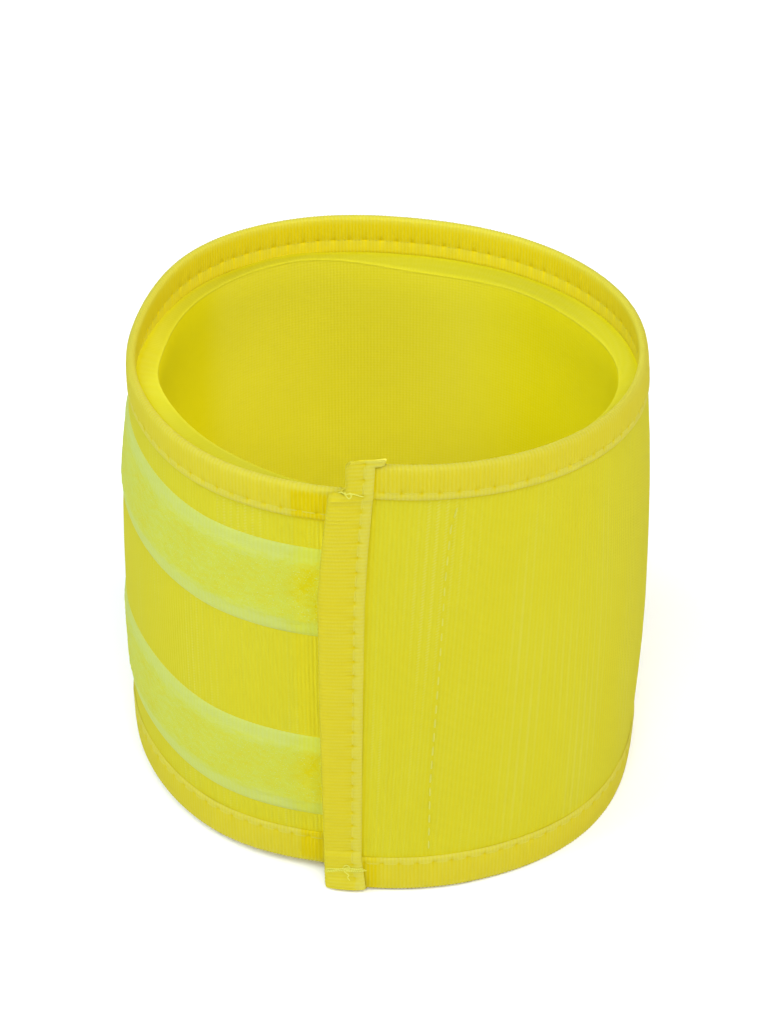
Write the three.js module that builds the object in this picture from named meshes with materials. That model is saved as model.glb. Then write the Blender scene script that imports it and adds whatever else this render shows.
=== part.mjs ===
// A wide cloth armband. One long strip is wound a little more than once round the arm, so that its free
// end, the flap, lies on the outside. Ribbons are folded over the strip's edges, two loop tapes run round
// its outside, a hook panel under the flap grips them, and a closed sleeve lines the inside.
// Millimetres, +Z up. The armband stands on its lower edge, with the arm's axis upright.
// Angles are in degrees round that axis: 0 is right (+X), 90 is back (+Y), and the strip winds inward
// as its angle grows. A depth is how far a face lies inside the strip's outer face.

import * as THREE from 'three';

// The arm's axis, placed so that the whole armband stands centred on the origin
const AXIS_X = -0.8;
const AXIS_Y = 0.8;

// Thickness of each cloth layer, the clearance between layers, how far a layer laid on another reaches
// from it, how far the strip's second turn lies inside its first, and how round a ribbon's fold is
const CLOTH = 1.0;
const GAP = 0.3;
const OVERLAY = GAP + CLOTH;
const LAYER_STEP = 4.0;
const FOLD_ROUND = 0.4;

// Clearances along the strip, in degrees, and below the set-back corner, in millimetres
const FOLD_CLEAR = 1.45;
const BUTT_CLEAR = 0.6;
const CORNER_CLEAR = 1.2;

// The strip's hidden end, where the flap's free end meets the second turn, and the grid of sections that all
// pieces share, in degrees
const STRIP_END = 324;
const LAP_START = 258;
const STATION_STEP = 6;
const GRID_START = -102;
const FLAP_GRID_START = -90;

// Ribbons: how far their legs reach from the folded edge
const TOP_LEG = 7.0;
const BOTTOM_LEG = 8.5;

// Loop tapes
const TAPE_WIDTH = 20;
const TAPE_START = 120;
const TAPE_END = 282;

// Hook panel, under the flap
const HOOK_START = -90.2;
const HOOK_END = -75;
const HOOK_LOW = 10;
const HOOK_HIGH = 92.5;

// Inner sleeve: a tube whose upper edge slopes, highest at the left front. It keeps clear of the ribbons'
// inner legs near its edges, and fills out between them.
const SLEEVE_BOTTOM = 7;
const SLEEVE_TOP = 86.5;
const SLEEVE_SLOPE = 3.5;
const SLEEVE_LOW_ANGLE = 45;
const SLEEVE_INNER_DEPTH = 5.3;
const SLEEVE_WIDE_DEPTH = 1.6;
const SLEEVE_NARROW_DEPTH = 2.6;
const SLEEVE_MERGE_START = -36;
const SLEEVE_MERGE_END = 20;

// The strip's first turn, every 30 degrees: its outer face's radii at the upper edge, at mid-height and at
// the lower edge, and the heights of its finished edges above the floor
const ROW_STEP = 30;
const FIRST_TURN = [
  { angle: -100, upper: 53.5, middle: 53.5, lower: 51.5, top: 102.5, bottom: 0 },
  { angle: -70, upper: 52.5, middle: 53.5, lower: 53, top: 100, bottom: 0 },
  { angle: -40, upper: 51.5, middle: 54, lower: 54, top: 96.5, bottom: 0 },
  { angle: -10, upper: 51.5, middle: 53.5, lower: 53, top: 94.5, bottom: 0.5 },
  { angle: 20, upper: 51.5, middle: 53, lower: 52.5, top: 93.5, bottom: 0.5 },
  { angle: 50, upper: 52, middle: 52.5, lower: 52, top: 92.5, bottom: 0 },
  { angle: 80, upper: 51.5, middle: 52, lower: 52, top: 92.5, bottom: 0 },
  { angle: 110, upper: 51, middle: 52, lower: 52, top: 94, bottom: 0 },
  { angle: 140, upper: 49.5, middle: 51.5, lower: 52, top: 95.5, bottom: 1 },
  { angle: 170, upper: 48, middle: 51.5, lower: 51.5, top: 94, bottom: 1.5 },
  { angle: 200, upper: 48.5, middle: 50, lower: 50, top: 94, bottom: 2 },
  { angle: 230, upper: 49, middle: 50, lower: 49, top: 93.5, bottom: 1.5 },
];

// Under the flap the strip follows the flap's shape, one layer further in
const LAP_TOP = 94;
const LAP_BOTTOM = 2;
const LAP = FIRST_TURN.slice(0, 3).map((row) => ({
  angle: row.angle + 360,
  upper: row.upper - LAYER_STEP,
  middle: row.middle - LAYER_STEP,
  lower: row.lower - LAYER_STEP,
  top: LAP_TOP,
  bottom: LAP_BOTTOM,
}));
const ROWS = [...FIRST_TURN, ...LAP];

// Centre lines of the loop tapes: below the strip's upper edge, and above its lower edge
const TAPE_ROWS = [
  { angle: 120, fromTop: 21.2, fromBottom: 25.5 },
  { angle: 170, fromTop: 21.4, fromBottom: 25.5 },
  { angle: 200, fromTop: 22.5, fromBottom: 24.6 },
  { angle: 230, fromTop: 23.6, fromBottom: 23.5 },
  { angle: 285, fromTop: 23.5, fromBottom: 23.2 },
];

// The flap's end ribbon: the angles of its fold and of its legs' inner edge. Its upper corner is set back.
const CORNER_LOW = 95.2;
const CORNER_HIGH = 95.6;
const FLAP_END_ROWS = [
  { height: 0, fold: -101.8, leg: -93.7 },
  { height: 50, fold: -102.1, leg: -92.5 },
  { height: CORNER_LOW, fold: -99.4, leg: -90.9 },
  { height: CORNER_HIGH, fold: -96, leg: -90.9 },
  { height: 103, fold: -96, leg: -90.6 },
];
const FLAP_END_HEIGHTS = [0, 12, 25, 37, 50, 62, 74, 85, CORNER_LOW, CORNER_HIGH, 103];

// The strip's levels, from its lower cut edge (0) to its upper one (1); two close ones follow the corner
const STRIP_LEVELS = [0, 0.25, 0.5, 0.75, 0.923, 0.936, 1];

// A smooth curve through the rows' values
function rowValue(column, angle) {
  const place = (angle - ROWS[0].angle) / ROW_STEP;
  const last = ROWS.length - 1;
  const index = THREE.MathUtils.clamp(Math.floor(place), 0, last - 1);
  const t = place - index;
  const [p0, p1, p2, p3] = [index - 1, index, index + 1, index + 2].map(
    (i) => ROWS[THREE.MathUtils.clamp(i, 0, last)][column],
  );
  const slope = (p2 - p0) / 2;
  const nextSlope = (p3 - p1) / 2;
  const rise = p2 - p1;
  return p1 + slope * t + (3 * rise - 2 * slope - nextSlope) * t ** 2
    + (slope + nextSlope - 2 * rise) * t ** 3;
}

// Straight lines between the rows of a short table
function tableValue(rows, key, column, place) {
  const next = rows.findIndex((row) => row[key] >= place);
  if (next < 1) {
    return next < 0 ? rows[rows.length - 1][column] : rows[0][column];
  }
  const [low, high] = [rows[next - 1], rows[next]];
  return THREE.MathUtils.mapLinear(place, low[key], high[key], low[column], high[column]);
}

const topEdge = (angle) => rowValue('top', angle);
const bottomEdge = (angle) => Math.max(0, rowValue('bottom', angle));

// Radius of the strip's outer face: a parabola through its lower, middle and upper radii
function faceRadius(angle, height) {
  const v = (height - bottomEdge(angle)) / (topEdge(angle) - bottomEdge(angle));
  const lower = rowValue('lower', angle) * (1 - v) * (1 - 2 * v);
  const middle = rowValue('middle', angle) * 4 * v * (1 - v);
  const upper = rowValue('upper', angle) * v * (2 * v - 1);
  return lower + middle + upper;
}

function placeAt(angle, height, radius) {
  const turn = THREE.MathUtils.degToRad(angle);
  return [AXIS_X + radius * Math.cos(turn), AXIS_Y + radius * Math.sin(turn), height];
}

const onStrip = (angle, height, depth) => placeAt(angle, height, faceRadius(angle, height) - depth);

// The angles of a swept piece's sections: its two ends, and the grid's angles between them
function stations(start, end) {
  const list = [start];
  const clear = STATION_STEP / 3;
  for (let angle = GRID_START; angle < end - clear; angle += STATION_STEP) {
    if (angle > start + clear) {
      list.push(angle);
    }
  }
  list.push(end);
  return list;
}

// Moves each vertex of a plain geometry to its place on the armband
function fitted(geometry, toPlace) {
  const position = geometry.attributes.position;
  for (let i = 0; i < position.count; i += 1) {
    position.setXYZ(i, ...toPlace(position.getX(i), position.getY(i), position.getZ(i)));
  }
  geometry.deleteAttribute('uv');
  geometry.computeVertexNormals();
  return geometry;
}

// A sheet of cloth: a box with one cell through its thickness. toPlace gets a depth, a row across the sheet
// and a step along it.
function sheet(outerDepth, innerDepth, rows, steps, toPlace) {
  const box = new THREE.BoxGeometry(innerDepth - outerDepth, rows, steps, 1, rows, steps);
  box.translate((outerDepth + innerDepth) / 2, rows / 2, steps / 2);
  return fitted(box, (depth, row, step) => toPlace(depth, Math.round(row), Math.round(step)));
}

// A ribbon: a folded section swept through numbered steps
function ribbon(section, steps, toPlace) {
  const shape = new THREE.Shape(section.map(([x, y]) => new THREE.Vector2(x, y)));
  const extruded = new THREE.ExtrudeGeometry(shape, { depth: steps, steps, bevelEnabled: false });
  return fitted(extruded, (x, y, step) => toPlace(x, y, Math.round(step)));
}

// A ribbon's folded section: two legs with the strip between them. x is the depth, y runs from the folded
// edge (0) towards the legs' ends.
function foldedSection(leg) {
  const outer = -OVERLAY;
  const inner = CLOTH + OVERLAY;
  return [
    [outer, leg],
    [outer, FOLD_ROUND],
    [outer + FOLD_ROUND, 0],
    [inner - FOLD_ROUND, 0],
    [inner, FOLD_ROUND],
    [inner, leg],
    [inner - CLOTH, leg],
    [inner - CLOTH, CLOTH],
    [outer + CLOTH, CLOTH],
    [outer + CLOTH, leg],
  ];
}

function flapFold(height) {
  return tableValue(FLAP_END_ROWS, 'height', 'fold', height);
}

function flapLeg(height) {
  return tableValue(FLAP_END_ROWS, 'height', 'leg', height);
}

// The strip's cut edges lie inside the ribbons' folds, and its free end inside the flap's end ribbon
function bandBody() {
  const grid = stations(FLAP_GRID_START, STRIP_END);
  return sheet(0, CLOTH, STRIP_LEVELS.length - 1, grid.length + 1, (depth, row, step) => {
    const heightAt = (angle) => {
      const bottom = bottomEdge(angle) + OVERLAY;
      const top = topEdge(angle) - OVERLAY;
      return THREE.MathUtils.lerp(bottom, top, STRIP_LEVELS[row]);
    };
    const start = flapFold(heightAt(GRID_START) + CORNER_CLEAR) + FOLD_CLEAR;
    const angle = step > 1 ? grid[step - 2] : THREE.MathUtils.lerp(start, grid[0], step / 2);
    return onStrip(angle, heightAt(angle), depth);
  });
}

function topBinding() {
  const list = stations(flapLeg(LAP_TOP) + BUTT_CLEAR, STRIP_END);
  const section = foldedSection(TOP_LEG).map(([depth, y]) => [depth, -y]);
  return ribbon(section, list.length - 1, (depth, y, step) => {
    return onStrip(list[step], topEdge(list[step]) + y, depth);
  });
}

function bottomBinding() {
  const list = stations(flapLeg(0) + BUTT_CLEAR, STRIP_END);
  return ribbon(foldedSection(BOTTOM_LEG), list.length - 1, (depth, y, step) => {
    return onStrip(list[step], bottomEdge(list[step]) + y, depth);
  });
}

// The flap's end ribbon stands upright. In its section x is 0 at the fold, 1 at the fold's inner face and
// 2 at the legs' ends, and y is the depth.
function flapEndBinding() {
  const outer = -OVERLAY;
  const inner = CLOTH + OVERLAY;
  const [wallInside, legMiddle, legEnd] = [1, 1.5, 2];
  const section = [
    [0, outer + FOLD_ROUND],
    [FOLD_ROUND, outer],
    [legMiddle, outer],
    [legEnd, outer],
    [legEnd, outer + CLOTH],
    [legMiddle, outer + CLOTH],
    [wallInside, outer + CLOTH],
    [wallInside, inner - CLOTH],
    [legMiddle, inner - CLOTH],
    [legEnd, inner - CLOTH],
    [legEnd, inner],
    [legMiddle, inner],
    [FOLD_ROUND, inner],
    [0, inner - FOLD_ROUND],
  ];
  return ribbon(section, FLAP_END_HEIGHTS.length - 1, (x, depth, step) => {
    const height = FLAP_END_HEIGHTS[step];
    const fold = flapFold(height);
    const radius = faceRadius(fold, height);
    const wall = fold + THREE.MathUtils.radToDeg(CLOTH / radius);
    const angle = x < wallInside
      ? THREE.MathUtils.lerp(fold, wall, x)
      : THREE.MathUtils.lerp(wall, flapLeg(height), x - wallInside);
    return onStrip(angle, height, depth);
  });
}

// A tape lies on the strip's outer face, along a centre line given by a function of the angle
function loopTape(centreHeight) {
  const list = stations(TAPE_START, TAPE_END);
  const rows = 2;
  return sheet(-OVERLAY, -GAP, rows, list.length - 1, (depth, row, step) => {
    const across = TAPE_WIDTH * (row / rows - 0.5);
    return onStrip(list[step], centreHeight(list[step]) + across, depth);
  });
}

function hookPanel() {
  const list = stations(HOOK_START, HOOK_END);
  const rows = 4;
  return sheet(OVERLAY, OVERLAY + CLOTH, rows, list.length - 1, (depth, row, step) => {
    return onStrip(list[step], THREE.MathUtils.lerp(HOOK_LOW, HOOK_HIGH, row / rows), depth);
  });
}

// The face that the sleeve lines: the strip under the lap, and beyond the strip's hidden end the outer turn,
// to which the sleeve returns smoothly
function linedRadius(angle, height) {
  if (angle < SLEEVE_MERGE_START - STATION_STEP / 2) {
    return faceRadius(angle + 360, height);
  }
  if (angle > SLEEVE_MERGE_END) {
    return faceRadius(angle, height);
  }
  const merged = THREE.MathUtils.smoothstep(angle, SLEEVE_MERGE_START, SLEEVE_MERGE_END);
  return faceRadius(angle, height) - LAYER_STEP * (1 - merged);
}

// A closed ring, first turned at a nominal size and then fitted to the strip's inside. Its section is a
// list of depths and levels, from 0 at the lower edge to 1 at the upper edge.
function innerSleeve() {
  const nominal = 100;
  const outer = [
    [SLEEVE_NARROW_DEPTH, 0],
    [SLEEVE_NARROW_DEPTH, 0.07],
    [SLEEVE_WIDE_DEPTH, 0.1],
    [SLEEVE_WIDE_DEPTH, 0.3],
    [SLEEVE_WIDE_DEPTH, 0.5],
    [SLEEVE_WIDE_DEPTH, 0.7],
    [SLEEVE_WIDE_DEPTH, 0.9],
    [SLEEVE_NARROW_DEPTH, 0.93],
    [SLEEVE_NARROW_DEPTH, 1],
  ];
  const inner = [1, 0.75, 0.5, 0.25, 0].map((level) => [SLEEVE_INNER_DEPTH, level]);
  const ring = [...outer, ...inner, outer[0]];
  const points = ring.map(([depth, level]) => new THREE.Vector2(nominal - depth, level));
  const turned = new THREE.LatheGeometry(points, 360 / STATION_STEP);
  turned.rotateX(Math.PI / 2);
  return fitted(turned, (x, y, level) => {
    const depth = nominal - Math.hypot(x, y);
    const turn = THREE.MathUtils.radToDeg(Math.atan2(y, x));
    const angle = turn + 360 < LAP_START - 1 ? turn + 360 : turn;
    const slope = SLEEVE_SLOPE * Math.cos(THREE.MathUtils.degToRad(angle - SLEEVE_LOW_ANGLE));
    const height = THREE.MathUtils.lerp(SLEEVE_BOTTOM, SLEEVE_TOP - slope, level);
    return placeAt(angle, height, linedRadius(angle, height) - depth);
  });
}

const cloth = (color) => new THREE.MeshStandardMaterial({ color, roughness: 0.9, metalness: 0 });

const bodyCloth = cloth('#d8d134');
const ribbonCloth = cloth('#dccd38');
const loopCloth = cloth('#cdd650');
const hookCloth = cloth('#d2c62c');
const sleeveCloth = cloth('#d3c82a');

const armband = new THREE.Group();

function addPiece(name, geometry, material) {
  const mesh = new THREE.Mesh(geometry, material);
  mesh.name = name;
  armband.add(mesh);
}

const upperTapeHeight = (angle) => topEdge(angle) - tableValue(TAPE_ROWS, 'angle', 'fromTop', angle);
const lowerTapeHeight = (angle) => bottomEdge(angle) + tableValue(TAPE_ROWS, 'angle', 'fromBottom', angle);

addPiece('band_body', bandBody(), bodyCloth);
addPiece('top_binding', topBinding(), ribbonCloth);
addPiece('bottom_binding', bottomBinding(), ribbonCloth);
addPiece('flap_end_binding', flapEndBinding(), ribbonCloth);
addPiece('loop_tape_upper', loopTape(upperTapeHeight), loopCloth);
addPiece('loop_tape_lower', loopTape(lowerTapeHeight), loopCloth);
addPiece('hook_panel', hookPanel(), hookCloth);
addPiece('inner_sleeve', innerSleeve(), sleeveCloth);

export default armband;
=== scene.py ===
# Looks of a wide cloth armband. A long strip of ribbed cloth is wound a little more than once round
# the arm and bound with grosgrain ribbon on its edges. Two loop tapes run round its outside, and a
# padded sleeve lines it.
import math

import bpy
import numpy as np
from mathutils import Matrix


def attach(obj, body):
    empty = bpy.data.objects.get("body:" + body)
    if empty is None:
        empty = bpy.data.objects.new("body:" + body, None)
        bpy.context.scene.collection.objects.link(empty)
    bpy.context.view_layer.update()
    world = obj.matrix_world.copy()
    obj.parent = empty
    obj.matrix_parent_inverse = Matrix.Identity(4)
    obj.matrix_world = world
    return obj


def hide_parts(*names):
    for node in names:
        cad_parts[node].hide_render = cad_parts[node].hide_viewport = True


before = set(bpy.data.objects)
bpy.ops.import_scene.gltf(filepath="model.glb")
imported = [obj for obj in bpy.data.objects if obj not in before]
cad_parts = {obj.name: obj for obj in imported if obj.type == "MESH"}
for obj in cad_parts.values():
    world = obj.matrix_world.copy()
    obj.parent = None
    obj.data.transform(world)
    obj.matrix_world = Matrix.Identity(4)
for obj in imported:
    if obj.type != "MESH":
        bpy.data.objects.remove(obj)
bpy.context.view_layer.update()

# Lengths are in millimetres and angles in degrees until a mesh is made. Angles run round the arm's
# axis: 0 is right (+X), 90 is back (+Y). A depth is how far a point lies inside the ribbons' outer
# face, where a degree is about MM_PER_DEGREE long.
MM = 0.001
MM_PER_DEGREE = 0.93
AXIS_X = -0.8
AXIS_Y = 0.8

# The photograph's view, aimed at this height on the arm's axis
CAMERA_AIM = 48.13
CAMERA_DISTANCE = 520.0
CAMERA_ELEVATION = 36.0
CAMERA_LENS = 90.70
CAMERA_SHIFT = (0.00597, 0.02264)

# Sections of the strip every ROW_STEP degrees: radii of the ribbons' outer face at the upper edge,
# at mid-height and at the lower edge, the heights of the folded edges, and how far the strip draws
# in WAIST_BELOW its upper edge. The last three lie under the flap.
ROW_STEP = 30.0
WAIST_BELOW = 12.0
WAIST_REACH = 13.0
SECTIONS = np.array(
    [
        # angle, upper, middle, lower, top, bottom, waist
        (-100, 53.8, 53.3, 52.3, 102.2, 0.5, 0.0),
        (-70, 53.1, 53.8, 53.8, 99.8, 0.3, 0.0),
        (-40, 52.1, 54.9, 55.1, 97.1, 0.0, 0.0),
        (-10, 51.3, 54.6, 53.4, 94.7, 0.5, -0.1),
        (20, 52.1, 53.9, 52.9, 93.5, 0.5, 0.0),
        (50, 52.7, 52.8, 52.7, 92.5, 0.0, 0.0),
        (80, 52.2, 52.5, 52.6, 92.5, 0.0, 0.0),
        (110, 51.7, 52.2, 52.6, 94.0, 0.0, 0.0),
        (140, 49.9, 52.0, 52.2, 95.5, 1.0, 0.2),
        (170, 48.5, 52.1, 51.6, 94.0, 1.5, 0.85),
        (200, 48.9, 50.5, 50.4, 94.0, 2.0, 0.8),
        (230, 49.6, 50.2, 49.7, 93.5, 1.7, 0.1),
        (260, 50.4, 50.1, 48.6, 94.0, 2.35, 0.0),
        (290, 50.5, 50.3, 50.0, 93.5, 1.5, 0.0),
        (320, 49.9, 51.1, 51.2, 91.2, 0.5, 0.0),
    ]
)
UPPER, MIDDLE, LOWER, TOP, BOTTOM, WAIST = range(1, 7)

# Where the strip starts inside the flap's end ribbon, whose corner is set back at the top, and
# where it ends under the flap
STRIP_START = -100.8
STRIP_END = 324.0
CORNER_START = -95.2
CORNER_TOP = 94.0
CORNER_REACH = 8.0
CORNER_SIDE = -97.0
END_LEG_SIDE = -91.5

# The ribbons' thickness, and the depths of the layers
RIBBON = 0.35
RIBBON_OUT = 0.05
CLOTH_OUT = 0.42
CLOTH_IN = 1.4
INNER_LEG = 1.8
FLAP_RIBBON_OUT = -0.35
FLAP_RIBBON_IN = 2.2
TAPE_OUT = -0.08
TAPE_IN = 0.38
TUBE_OUT = 1.95
LEDGE_OUT = 1.66

# Pitches and heights of the cloth patterns
WALE = 0.76
COURSE = 0.66
RIB = 0.75
END_RIB = 0.82
RIBBON_WARP = 0.28
SLEEVE_WARP = 0.69
SLEEVE_WEFT = 0.66
SELVEDGE_RIB = 0.9
HOOK_ROW = 0.75
TWIST = 0.16
WALE_HEIGHT = 0.04
RIB_HEIGHT = 0.09
END_RIB_HEIGHT = 0.06

# Edge ribbons: their outer legs, how much longer the inner ones are, the fold's depth, and how far
# inside it the strip's edge lies
TOP_LEG = 7.0
BOTTOM_LEG = 8.5
INNER_LONGER = 1.3
FOLD_REACH = 0.7
EDGE_IN_FOLD = 1.3

# Stitches: their inset from a leg's edge, length and dip at a hole, where the edge ribbons' own
# start beside the end ribbon, and the threads' radii
STITCH_INSET = 1.5
STITCH = 3.4
STITCH_DIP = 0.3
STITCHES_START = -90.0
THREAD = 0.13
SEAM_THREAD = 0.18

# The flap's end ribbon, as pairs of height and angle: its fold, and its legs' end
FOLD_LINE = np.array(
    [
        (0.0, -101.0), (0.4, -101.4), (1.2, -101.6), (8.0, -101.9), (48.0, -102.2), (71.6, -102.1),
        (84.0, -101.0), (93.8, -99.8), (95.2, -99.5), (95.7, -98.9), (95.95, -97.7), (96.1, -96.5),
        (96.4, -96.2), (101.6, -96.2), (102.2, -95.8), (102.6, -95.1), (102.7, -94.6),
    ]
)
LEG_LINE = np.array(
    [
        (0.0, -92.6), (3.3, -93.0), (8.0, -93.65), (49.5, -93.15), (71.0, -92.7), (82.0, -92.1),
        (95.2, -91.0), (103.0, -90.5),
    ]
)
# By height, how many degrees further its outer leg reaches, and how far it stands off at the foot
LEG_SPREAD = np.array([(101.35, 0.0), (101.5, 1.8), (102.5, 1.8), (102.7, 1.5)])
FOOT_SPREAD = 0.7
FOOT_TOP = 6.0
END_TOP = 102.7
# Its set-back corner: where the straight fold ends, the corner's top and its side
FOLD_STRAIGHT_TOP = 94.0
NOTCH_TOP = 95.9
NOTCH_SIDE = -96.4
# Its legs, the part of them that stretches, the fold's depth, the stitches' inset, the ribs' tilt
END_LEG = 9.0
END_FIXED = 4.6
END_FOLD_REACH = 0.9
END_STITCH_INSET = 1.8
END_TILT = 0.09
END_MIDDLE = -95.0

# The stitched line on the flap, above the hook patch's edge, as pairs of height and angle
SEAM_LINE = np.array(
    [(13, -79.4), (28, -79.3), (43, -78.5), (63, -77.5), (75, -77.0), (87, -76.0), (92, -74.5)]
)

# Loop tapes. Their centre lines lie below the upper edge and above the lower edge, by angle.
TAPE_WIDTH = 20.0
SELVEDGE = 2.8
SELVEDGE_OUT = 0.18
TAPE_START = 120.0
TAPE_END = 282.0
TAPE_STEP = 0.45
TAPE_FROM_TOP = np.array([(120, 21.2), (170, 21.4), (200, 22.5), (230, 23.6), (285, 23.5)])
TAPE_FROM_BOTTOM = np.array([(120, 25.5), (170, 25.5), (200, 24.6), (230, 23.5), (285, 23.2)])

# Hook patch under the flap
HOOK_START = -90.2
HOOK_END = -75.0
HOOK_LOW = 10.0
HOOK_HIGH = 92.5
HOOK_OUT = 1.45
HOOK_IN = 2.0
HOOK_GRID = 1.5
HOOK_HEIGHT = 0.35
HOOK_BEND = 0.45
HOOK_THREAD = 0.07

# Padded sleeve, with the depth and height of its inner upper edge every ROW_STEP degrees
TUBE_START = -102.0
TUBE_END = 258.0
TUBE_LAST = 257.99
TUBE_STEP = 0.75
TUBE_BOTTOM = 7.0
TUBE_ROUND = 0.9
TUBE_RADIUS = 47.0
TUBE_EDGE = np.array(
    [
        (5.3, 91.0), (5.3, 91.0), (5.3, 90.6), (5.2, 86.4), (5.3, 83.2), (5.3, 82.7),
        (5.0, 82.2), (3.9, 85.8), (4.4, 86.7), (6.0, 87.2), (6.0, 91.6), (6.0, 91.8),
    ]
)
LIP = 0.3
LIP_REACH = 0.25
# It passes from under the strip's hidden end to the outer turn between the first two angles, and
# its inside is paler between the others
MERGE_START = -36.0
MERGE_END = 20.0
LIGHT_ZONE = (57.0, 136.0)

# Where the flap's shadow on the second turn starts, and how far on the flap's fold lies there
SHADE_START = 252.0
FOLD_TURN = 360.3


def add_object(name, data):
    added = bpy.data.objects.new(name, data)
    bpy.context.scene.collection.objects.link(added)
    return added


# Camera

def make_camera():
    turn = math.radians(CAMERA_ELEVATION)
    camera = add_object("camera", bpy.data.cameras.new("camera"))
    camera.data.lens = CAMERA_LENS
    camera.data.shift_x, camera.data.shift_y = CAMERA_SHIFT
    camera.data.clip_start = 0.05
    camera.data.clip_end = 20.0
    away = CAMERA_DISTANCE * math.cos(turn)
    rise = CAMERA_DISTANCE * math.sin(turn)
    camera.location = (AXIS_X * MM, (AXIS_Y - away) * MM, (CAMERA_AIM + rise) * MM)
    camera.rotation_euler = (math.pi / 2 - turn, 0.0, 0.0)
    bpy.context.scene.camera = camera


make_camera()


# The strip's surface

def through(values, place, closed=False):
    """A smooth curve through values, which lie one apart. closed joins the last to the first."""
    index = np.floor(place).astype(int)
    if not closed:
        index = np.clip(index, 0, len(values) - 2)
    t = place - index
    mode = "wrap" if closed else "clip"
    p0, p1, p2, p3 = (np.take(values, index + k, mode=mode) for k in (-1, 0, 1, 2))
    slope = (p2 - p0) / 2
    next_slope = (p3 - p1) / 2
    rise = p2 - p1
    cubic = slope + next_slope - 2 * rise
    return p1 + slope * t + (3 * rise - 2 * slope - next_slope) * t**2 + cubic * t**3


def bell(distance, width):
    return np.exp(-((distance / width) ** 2))


def ramp(value):
    """From 0 to 1 with soft ends, as value goes from 0 to 1."""
    t = np.clip(value, 0, 1)
    return t * t * (3 - 2 * t)


def on_line(value, line):
    """What a line of pairs gives at a value of its first column."""
    return np.interp(value, line[:, 0], line[:, 1])


def section(column, angle):
    return through(SECTIONS[:, column], (np.asarray(angle, float) - SECTIONS[0, 0]) / ROW_STEP)


def top_edge(angle):
    return section(TOP, angle)


def bottom_edge(angle):
    return np.maximum(0.0, section(BOTTOM, angle))


def face_radius(angle, height):
    """The ribbons' outer face: a parabola through the lower, middle and upper radii."""
    v = (height - bottom_edge(angle)) / (top_edge(angle) - bottom_edge(angle))
    lower = section(LOWER, angle) * (1 - v) * (1 - 2 * v)
    middle = section(MIDDLE, angle) * 4 * v * (1 - v)
    upper = section(UPPER, angle) * v * (2 * v - 1)
    waist = section(WAIST, angle) * bell(top_edge(angle) - height - WAIST_BELOW, WAIST_REACH)
    return lower + middle + upper - waist


def round_axis(angle, height, radius):
    turn = np.radians(angle)
    shape = np.broadcast(turn, height, radius).shape
    points = np.empty(shape + (3,))
    points[..., 0] = AXIS_X + radius * np.cos(turn)
    points[..., 1] = AXIS_Y + radius * np.sin(turn)
    points[..., 2] = height
    return points


def on_strip(angle, height, depth):
    return round_axis(angle, height, face_radius(angle, height) - depth)


# Lengths along the strip at mid-height, so that patterns keep an even pitch
_angles = np.linspace(-104, 328, 4321)
_middle = on_strip(_angles, (top_edge(_angles) + bottom_edge(_angles)) / 2, CLOTH_OUT)
_lengths = np.concatenate([[0.0], np.cumsum(np.linalg.norm(np.diff(_middle, axis=0), axis=1))])


def run_at(angle):
    return np.interp(angle, _angles, _lengths)


def angle_at(run):
    return np.interp(run, _lengths, _angles)


# The wales' pitch along the strip, by angle. It is stretched most right of the seam.
WALE_PITCH = np.array(
    [(-101, 0.76), (-86, 0.76), (-76, 0.82), (-60, 0.88), (-20, 0.84), (60, 0.79), (330, 0.79)]
)
_wale_steps = np.diff(_lengths) / on_line(_angles[1:], WALE_PITCH)
_wales = np.concatenate([[0.0], np.cumsum(_wale_steps)])


def wale_columns(start, end, steps):
    """Lengths along the strip at whole steps of its wales, and the wales' numbers there."""
    first, last = (np.interp(run_at(angle), _lengths, _wales) for angle in (start, end))
    number = np.arange(math.ceil(first * steps), math.floor(last * steps) + 1) / steps
    return np.interp(number, _wales, _lengths), number


def columns(start, end, step):
    """Lengths along the strip from one angle to another, at whole steps."""
    first = math.ceil(run_at(start) / step)
    last = math.floor(run_at(end) / step)
    return np.arange(first, last + 1) * step


def smooth_noise(u, v, size, seed):
    """Soft noise from -1 to 1 with a grain of the given size, the same in each run."""
    cells = 64
    grid = np.random.RandomState(seed).uniform(-1, 1, (cells, cells))
    iu, iv = np.floor(u / size).astype(int), np.floor(v / size).astype(int)
    su, sv = ramp(u / size - iu), ramp(v / size - iv)
    a, b = grid[iu % cells, iv % cells], grid[(iu + 1) % cells, iv % cells]
    c, d = grid[iu % cells, (iv + 1) % cells], grid[(iu + 1) % cells, (iv + 1) % cells]
    return (a * (1 - su) + b * su) * (1 - sv) + (c * (1 - su) + d * su) * sv


def flap_shade(run):
    """1 on the second turn where the flap's end shades it."""
    return ramp((run - run_at(SHADE_START) + 0.7) / 1.4)


def straight_fold(height):
    """The angle of the flap's fold, as if its corner were not set back."""
    return on_line(np.minimum(height, FOLD_STRAIGHT_TOP), FOLD_LINE)


def beside_flap(angle, height):
    """Painted light on the second turn beside the flap, where the flap's edge would shade it: what
    its side value loses there.
    """
    gap = straight_fold(height) + FOLD_TURN - angle
    return 0.45 * ramp((8 - gap) / 4.5) * ramp((gap + 6) / 4) + 2.4 * bell(gap, 1.75)


def beside_end_ribbon(angle, height):
    """1 on the flap right beside its end ribbon, falling off within a millimetre."""
    away = (angle - on_line(height, LEG_LINE)) * MM_PER_DEGREE
    return bell(np.maximum(away, 0), 1.0) * (angle < 0)


# Meshes

SHARP_ANGLE = 65.0


def unit(vectors):
    return vectors / np.linalg.norm(vectors, axis=-1, keepdims=True)


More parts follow.
